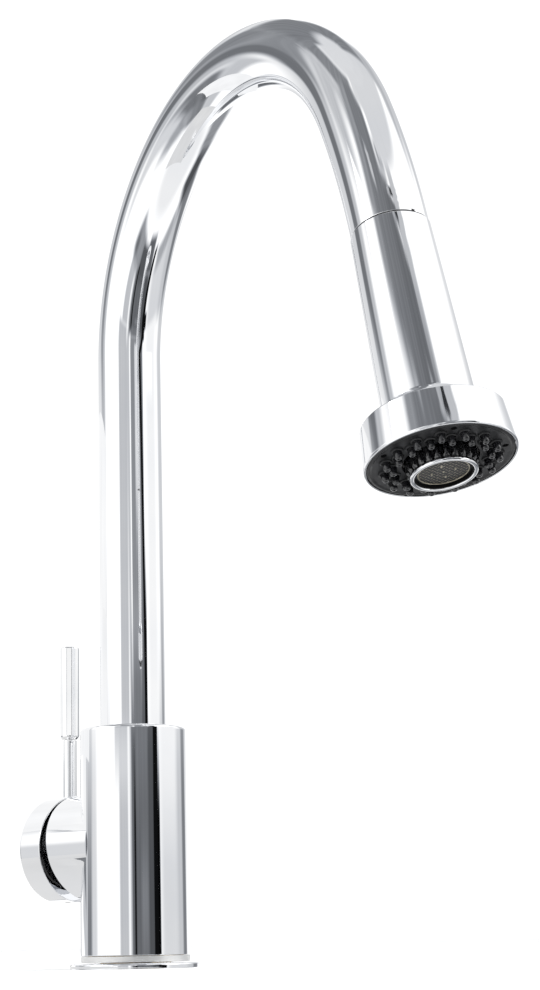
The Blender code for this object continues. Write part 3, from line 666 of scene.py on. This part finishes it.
def build_weave():
    """Woven wires across the aerator with stepped rings round them and five studs, over a near-black backing
    disc that is painted shade for the inside of the outlet.
    """
    radius = 9.35 * MM
    pitch = 1.5 * MM
    thick = 0.135 * MM
    level = 104.1 * MM
    count = int(radius / pitch)
    meshes = []
    for direction in (0, 1):
        for index in range(-count, count + 1):
            offset = index * pitch
            half = sqrt(max(radius ** 2 - offset ** 2, 0))
            if half < pitch:
                continue
            steps = max(4, int(2 * half / pitch * 2))
            along = np.linspace(-half, half, steps + 1)
            phase = along / pitch * pi + (index + direction) * pi
            height = level + 0.6 * thick * np.cos(phase)
            turns = full_turn(5)
            ring = thick * 0.75 * np.stack([np.cos(turns), np.sin(turns)], axis=1)
            rows = np.zeros((steps + 1, 5, 3))
            rows[:, :, 0] = along[:, None]
            rows[:, :, 1] = offset + ring[None, :, 0]
            rows[:, :, 2] = height[:, None] + ring[None, :, 1]
            wire = grid_mesh("wire", rows, False)
            meshes.append((wire, Matrix.Rotation(radians(77 + 90 * direction), 4, "Z")))
    for inner, outer, top in ((9.2, 9.65, 104.45), (9.85, 10.3, 104.0)):
        step = [(inner, 103.5, 0), (outer, 103.5, 0), (outer, top, 0.15), (inner, top, 0.15)]
        meshes.append((lathe("step", soften(step), 96), Matrix()))
    stud = [(0, 104.2, 0), (0.42, 104.2, 0), (0.25, 104.5, 0.08), (0, 104.52, 0)]
    stud = lathe("stud", soften(stud, closed=False), 12)
    for x, y in [(0, 0), *ring_places(4, 4.4 * MM, 45)]:
        meshes.append((stud, Matrix.Translation((x, y, 0))))
    weave = joined("woven_screen", meshes)
    piece("woven_screen", weave, WAND, "selector", MESH_WIRE, ["aerator_screen"])
    # The backing disc under the weave is painted shade, where the outlet's inside lies in shadow.
    back = [
        (0, 102.2, 0), (10.88, 102.2, 0.1), (10.88, 105.4, 0.12), (10.45, 105.4, 0.1), (10.35, 103.45, 0.1),
        (9.0, 103.45, 0.1), (8.6, 103.0, 0.1), (0, 103.0, 0),
    ]
    back = lathe("painted_shade_backing", soften(back, closed=False), 96)
    piece("painted_shade_backing", back, WAND, "selector", PAINTED_SHADE)


# ---------------------------------------------------------------- handle

def build_handle():
    cap = [
        (0, 9.6, 0), (3.9, 9.6, 0), (3.9, 4.2, 0.1), (7, 4.2, 0.2), (7, 9.5, 0.2), (19, 9.5, 0.4),
        (19, 0, 0.2), (25, 0, 0.4), (25, 14.4, 1.1), (0, 14.4, 0),
    ]
    cap = lathe("cap_skin", soften(cap, closed=False, steps=6), 192)
    cap.transform(HUB)
    hole = lathe("hole", soften([(0, 20.0, 0), (3.67, 20.0, 0), (3.67, 30, 0), (0, 30, 0)], closed=False), 48)
    hole.transform(LEVER)
    access = lathe("access", soften([(0, -30, 0), (2.4, -30, 0), (2.4, -2, 0), (0, -2, 0)], closed=False), 40)
    access.transform(LEVER)
    cap = cut(cap, [hole, access])
    piece("cap_skin", cap, Matrix(), "handle", CHROME, ["handle_cap"])
    rod = [
        (0, 20.3, 0), (3.37, 20.3, 0.3), (3.37, 52.1, 0.2), (2.2, 52.1, 0.1), (2.2, 60.4, 0.2), (0, 60.4, 0),
    ]
    rod = lathe("rod_skin", soften(rod, closed=False), SMALL_ROUND)
    piece("rod_skin", rod, LEVER, "handle", LEVER_CHROME, ["lever_rod"])
    grip = [
        (0, 60.8, 0), (2.5, 60.8, 0), (2.5, 52.4, 0.1), (3.55, 52.4, 0.15), (4.75, 53.6, 0.6),
        (4.75, 97.8, 0.9), (0, 97.8, 0),
    ]
    grip = lathe("grip_skin", soften(grip, closed=False, steps=6), SMALL_ROUND)
    piece("grip_skin", grip, LEVER, "handle", LEVER_CHROME, ["lever_grip"])


def finish_cad_nodes():
    """Each CAD node that still shows gets the procedural finish of its material slot."""
    slots = {entry["node"]: entry["material_slot"] for entry in frame["record"]["subparts"]}
    for name, node in frame["nodes"].items():
        node.data.materials.clear()
        node.data.materials.append(CAD_FINISH[slots[name]])


# ---------------------------------------------------------------- studio

def build_camera():
    yaw, pitch, roll = CAMERA_YAW, CAMERA_PITCH, CAMERA_ROLL
    forward = Vector((sin(yaw) * cos(pitch), cos(yaw) * cos(pitch), sin(pitch)))
    right = Vector((cos(yaw), -sin(yaw), 0))
    up = right.cross(forward)
    right, up = right * cos(roll) + up * sin(roll), up * cos(roll) - right * sin(roll)
    data = bpy.data.cameras.new("photo_view")
    data.lens = CAMERA_LENS
    data.shift_x, data.shift_y = CAMERA_SHIFT
    data.clip_start = 0.01
    camera = linked("photo_view", data)
    turn = Matrix((right, up, -forward)).transposed().to_4x4()
    camera.matrix_world = Matrix.Translation(CAMERA_PLACE) @ turn
    bpy.context.scene.camera = camera


class Tones:
    """Builds the light tent's brightness from its azimuth and elevation, both in degrees."""

    def __init__(self, tree):
        self.tree = tree
        where = tree.nodes.new("ShaderNodeTexCoord").outputs["Object"]
        split = tree.nodes.new("ShaderNodeSeparateXYZ")
        unit = tree.nodes.new("ShaderNodeVectorMath")
        unit.operation = "NORMALIZE"
        tree.links.new(where, unit.inputs[0])
        tree.links.new(unit.outputs[0], split.inputs[0])
        heading = self.math("ARCTAN2", split.outputs[1], split.outputs[0])
        self.azimuth = self.math("MULTIPLY", heading, 180 / pi)
        self.elevation = self.math("MULTIPLY", self.math("ARCSINE", split.outputs[2]), 180 / pi)
        # high in front, where the bell looks, upright edges turn ragged
        high = self.window(self.elevation, 49.2, 51.6, 0.5)
        ragged = self.math("SUBTRACT", self.cloud(0.05, 0.9), 0.5)
        shift = self.math("MULTIPLY", self.math("MULTIPLY", ragged, 16.0), high)
        self.azimuth = self.math("ADD", self.azimuth, shift)

    def math(self, operation, *values):
        node = self.tree.nodes.new("ShaderNodeMath")
        node.operation = operation
        for socket, value in zip(node.inputs, values):
            if isinstance(value, bpy.types.NodeSocket):
                self.tree.links.new(value, socket)
            else:
                socket.default_value = value
        return node.outputs[0]

    def step(self, value, low, high):
        """Rises from 0 at low to 1 at high."""
        node = self.tree.nodes.new("ShaderNodeMapRange")
        node.interpolation_type = "SMOOTHSTEP"
        node.inputs["From Min"].default_value = low
        node.inputs["From Max"].default_value = high
        self.tree.links.new(value, node.inputs["Value"])
        return node.outputs["Result"]

    def window(self, value, low, high, soft):
        rise = self.step(value, low - soft, low + soft)
        fall = self.step(value, high - soft, high + soft)
        return self.math("SUBTRACT", rise, fall)

    def panel(self, tone, azimuths, elevations, level, soft=(1.5, 3.0), lean=0.0, middle=None):
        """Mixes the tone towards a level inside a panel, which may lean with elevation or follow a middle."""
        azimuth = self.azimuth
        if middle is not None:
            azimuth = self.math("SUBTRACT", azimuth, middle)
        elif lean:
            azimuth = self.math("ADD", azimuth, self.math("MULTIPLY", self.elevation, lean))
        inside = self.math("MULTIPLY", self.window(azimuth, *azimuths, soft[0]),
                           self.window(self.elevation, *elevations, soft[1]))
        return self.math("ADD", self.math("MULTIPLY", tone, self.math("SUBTRACT", 1.0, inside)),
                         self.math("MULTIPLY", inside, light_level(level)))

    def curve(self):
        """Azimuth of the curved flag's middle, which bends to the left at the top and right at the bottom."""
        above = self.math("POWER", self.math("MAXIMUM", self.elevation, 0.0), 3)
        below = self.math("POWER", self.math("MAXIMUM", self.math("MULTIPLY", self.elevation, -1), 0.0), 2)
        right = self.math("MULTIPLY", below, 0.009)
        left = self.math("MULTIPLY", above, 0.0016)
        return self.math("ADD", self.math("SUBTRACT", right, left), 46.5)

    def cloud(self, across, along):
        """Noise over the tent, from its frequencies per degree of azimuth and elevation."""
        where = self.tree.nodes.new("ShaderNodeCombineXYZ")
        self.tree.links.new(self.math("MULTIPLY", self.azimuth, across), where.inputs["X"])
        self.tree.links.new(self.math("MULTIPLY", self.elevation, along), where.inputs["Y"])
        texture = self.tree.nodes.new("ShaderNodeTexNoise")
        texture.inputs["Scale"].default_value = 1.0
        texture.inputs["Detail"].default_value = 4.0
        self.tree.links.new(where.outputs[0], texture.inputs["Vector"])
        return texture.outputs["Fac"]

    def streaks(self, tone):
        """Uneven light: faint upright streaks and soft clouds."""
        change = self.math("MULTIPLY", self.math("SUBTRACT", self.cloud(0.2, 0.03), 0.5), 0.6)
        dark = self.math("SUBTRACT", 1.0, self.step(tone, 0.25, 0.9))
        return self.math("MULTIPLY", tone, self.math("ADD", 1.0, self.math("MULTIPLY", change, dark)))


def light_level(tone):
    """Emission that looks as bright as a display tone (0 to 255) once polished chrome has reflected it."""
    return 1.2 if 250 < tone <= 255 else (tone / 255) ** 2.2 / 0.9


# Panels of the light tent, in degrees: azimuths, elevations, tone, softness of both edges, and for one its
# lean. Azimuth 0 is near the camera's side of the object and grows to the right. Later panels lie over
# earlier ones.
TENT_PANELS = (
    # lamps and ceiling
    ((-200, 200), (71, 100), 217, (1, 3)),
    ((-200, 200), (-100, -58), 236, (1, 8)),
    ((-200, -100), (50, 76), 128, (6, 4)),
    ((-104, -44), (46, 55), 194, (8, 4)),
    ((-110, -24), (54.5, 70), 134, (8, 3)),
    ((-62, -40), (36, 60), 146, (5, 3.5)),
    ((-47, -12), (38, 64), 122, (4, 3)),
    ((-34, 6), (36, 53), 120, (5, 3)),
    ((-8, 8), (53.5, 58), 140, (5, 2)),
    ((12, 27), (44, 57), 190, (3, 3)),
    ((0, 22), (24, 47), 138, (4, 3)),
    ((-30, 14), (24, 36), 156, (6, 4)),
    ((-16, 13), (38, 49.2), 110, (1.5, 1.0)),
    ((0, 6), (42.6, 44.6), 186, (2, 0.8)),
    ((5.5, 14), (49.8, 51.3), 52, (1.2, 0.4)),
    ((-2.5, 3.5), (49.4, 50.9), 176, (1.0, 0.4)),
    ((-18, 128), (63.5, 78), 214, (3, 1.5)),
    ((-3, 128), (55, 70), 211, (2.5, 2)),
    ((-26, -19), (46, 51), 196, (1.5, 1.5), 0.3),
    ((125, 200), (55, 78), 130, (7, 4)),
    ((115, 150), (40, 58), 180, (6, 5)),
    # walls behind, left and right
    ((-200, -128), (16, 48), 200, (8, 9)),
    ((-154, -121), (33, 54), 134, (6, 5)),
    ((-126, -104), (29, 56), 142, (6, 5)),
    ((-124, -103), (8, 31), 190, (5, 5)),
    ((-104, -74), (32, 50), 192, (8, 5)),
    ((-124, -88), (-45, 6), 212, (5, 6)),
    ((-120, -101), (-45, 5), 122, (3.5, 5)),
    ((-125, -114), (-27, -11), 94, (3, 4)),
    ((-112, -99), (-38, -24), 112, (3, 4)),
    ((-103, -89), (-8, 5), 214, (6, 3)),
    ((-133, -121), (-45, 13), 196, (3, 4)),
    ((-132, -115), (18.5, 33), 114, (3, 4)),
    ((-108, -80), (-40, -24), 165, (9, 5)),
    ((-171, -161), (-44, 11), 104, (2, 4)),
    ((58, 128), (-26, 6), 214, (10, 4)),
    ((60, 100), (5, 24), 244, (10, 4)),
    ((104, 126), (-24, 8), 196, (8, 4)),
    ((118, 152), (4, 30), 204, (8, 6)),
    ((130, 152), (30, 48), 200, (5, 4)),
    ((122, 139), (-28, 9), 124, (4, 5)),
    ((66, 112), (-35, -22), 168, (6, 4)),
    ((114, 152), (-47, -24), 80, (7, 6)),
    ((145, 200), (-52, -29), 144, (8, 5)),
    # soft boxes left and right, bright enough to show as highlights on the dark plastics
    ((-86, -65), (20, 34), 480, (2.5, 3)),
    ((62, 88), (20, 38), 430, (3, 3)),
    # the open side, where the camera stands
    ((-31.5, -2), (-24, 6), 192, (2.0, 2)),
    ((-41, -2), (6, 24), 190, (2.0, 2)),
    ((-38, 0), (-43, -22), 150, (6, 4)),
    ((-34, -23), (-34, -24), 112, (5, 4)),
    ((-13, -8.5), (-18, 12), 250, (1.6, 6)),
    ((-5.5, 46), (-24, 9), 102, (2, 3)),
    ((2, 36), (9, 24), 140, (2, 3)),
    ((33, 47), (7, 24), 122, (2, 2)),
    ((3, 30), (5, 10), 120, (3, 2)),
    ((14, 29), (0, 3), 128, (4, 2)),
    ((30, 46), (-26, 9), 84, (4, 4)),
    ((-3, 25), (-41, -20), 86, (5, 4)),
    ((22, 50), (-47, -24), 98, (4, 4)),
    ((23, 32), (-36, -27), 172, (2.5, 2.5)),
    ((17, 25), (14, 21), 222, (2, 2)),
    ((28, 34), (10, 15), 182, (2, 2)),
    ((-0.4, 3.6), (-27, 5.5), 34, (0.7, 2)),
    ((41, 56), (-3, 6), 14, (1.2, 2)),
    ((43, 52), (4, 12), 14, (1.2, 2)),
)
TENT_TURN = radians(2.7)    # the tent's azimuth 0 lies this far to one side of the camera's heading
TENT_RADIUS = 40.0
FLOOR_HALF_SIDE = 10.0


def build_tent():
    """Light tent far round the object, seen only in reflections: bright, with darker screens in it."""
    mesh = bpy.data.meshes.new("light_tent")
    bm = bmesh.new()
    bmesh.ops.create_uvsphere(bm, u_segments=96, v_segments=48, radius=TENT_RADIUS)
    bmesh.ops.reverse_faces(bm, faces=bm.faces)
    bm.to_mesh(mesh)
    bm.free()
    mesh.shade_smooth()
    tent = linked("light_tent", mesh)
    tent.rotation_euler = (0, 0, -pi / 2 - CAMERA_YAW + TENT_TURN)
    tent.visible_camera = False
    tent.visible_shadow = False
    material = bpy.data.materials.new("tent_cloth")
    material.use_nodes = True
    tree = material.node_tree
    tree.nodes.clear()
    tones = Tones(tree)
    tone = light_level(252)
    for panel in TENT_PANELS:
        tone = tones.panel(tone, *panel)
    tone = tones.panel(tone, (-4.2, 4.2), (-38, 24), 22, (1.2, 3), middle=tones.curve())
    tone = tones.streaks(tone)
    tint = tree.nodes.new("ShaderNodeValToRGB")
    tint.color_ramp.elements[0].color = (0.93, 0.975, 1.06, 1)
    tint.color_ramp.elements[1].color = (1, 1, 1, 1)
    tree.links.new(tone, tint.inputs["Fac"])
    output = tree.nodes.new("ShaderNodeOutputMaterial")
    glow = tree.nodes.new("ShaderNodeEmission")
    tree.links.new(tint.outputs["Color"], glow.inputs["Color"])
    tree.links.new(tone, glow.inputs["Strength"])
    tree.links.new(glow.outputs[0], output.inputs["Surface"])
    material.cycles.emission_sampling = "NONE"
    mesh.materials.append(material)


def build_cards():
    """White cards close to the hub and lever, seen only in reflections, so that they stay light."""
    for name, tone, centre, towards, size in (
        ("card_behind", 247, (-0.066, 0.285, 0.232), (-0.011, 0.037, 0.056), (0.44, 0.24)),
        ("card_lever", 244, (-0.032, 0.0136, 0.139), (-0.013, 0.043, 0.139), (0.033, 0.056)),
        ("card_below", 219, (-0.13, 0.12, 0.0004), (-0.13, 0.12, 1.0), (0.26, 0.34)),
    ):
        level = light_level(tone)
        facing = (Vector(towards) - Vector(centre)).to_track_quat("Z", "Y").to_matrix().to_4x4()
        corners = [(x * size[0] / 2, y * size[1] / 2, 0) for x, y in ((-1, -1), (1, -1), (1, 1), (-1, 1))]
        mesh = bpy.data.meshes.new(name)
        mesh.from_pydata(corners, [], [(0, 1, 2, 3)])
        card = linked(name, mesh)
        card.matrix_world = Matrix.Translation(centre) @ facing
        for ray in ("camera", "diffuse", "transmission", "volume_scatter", "shadow"):
            setattr(card, "visible_" + ray, False)
        material = bpy.data.materials.new(name)
        material.use_nodes = True
        nodes, links = material.node_tree.nodes, material.node_tree.links
        nodes.clear()
        glow = nodes.new("ShaderNodeEmission")
        uneven = spread(material, noise(material, 9, 2), level * 0.94, level * 1.03)
        links.new(uneven, glow.inputs["Strength"])
        output = nodes.new("ShaderNodeOutputMaterial")
        links.new(glow.outputs[0], output.inputs["Surface"])
        material.cycles.emission_sampling = "NONE"
        mesh.materials.append(material)


def build_floor():
    mesh = bpy.data.meshes.new("floor")
    bm = bmesh.new()
    bmesh.ops.create_grid(bm, x_segments=2, y_segments=2, size=FLOOR_HALF_SIDE)
    bm.to_mesh(mesh)
    bm.free()
    floor = linked("floor", mesh)
    floor.visible_glossy = False
    material = plastic_material(
        "pale_floor", (0.90, 0.90, 0.90), (0.93, 0.93, 0.93), 0.55, 0.7, 40, 0.02,
        Emission_Color=(1, 1, 1, 1), Emission_Strength=0.3, Specular_IOR_Level=0.0,
    )
    mesh.materials.append(material)


def build_light():
    world = bpy.data.worlds.new("white_surround")
    world.use_nodes = True
    world.node_tree.nodes["Background"].inputs["Color"].default_value = (1, 1, 1, 1)
    world.node_tree.nodes["Background"].inputs["Strength"].default_value = 1.1
    bpy.context.scene.world = world
    bpy.context.scene.view_settings.view_transform = "Standard"
    data = bpy.data.lights.new("overhead", "AREA")
    data.shape = "DISK"
    data.size = 1.6
    data.energy = 9
    lamp = linked("overhead", data)
    lamp.location = (0.2, 0.3, 1.9)
    lamp.visible_glossy = False


def main():
    build_camera()
    finish_cad_nodes()
    build_base()
    build_fixing()
    build_spout()
    build_hose()
    build_wand()
    build_joint_seal()
    build_face()
    build_aerator()
    build_handle()
    build_tent()
    build_cards()
    build_floor()
    build_light()


main()
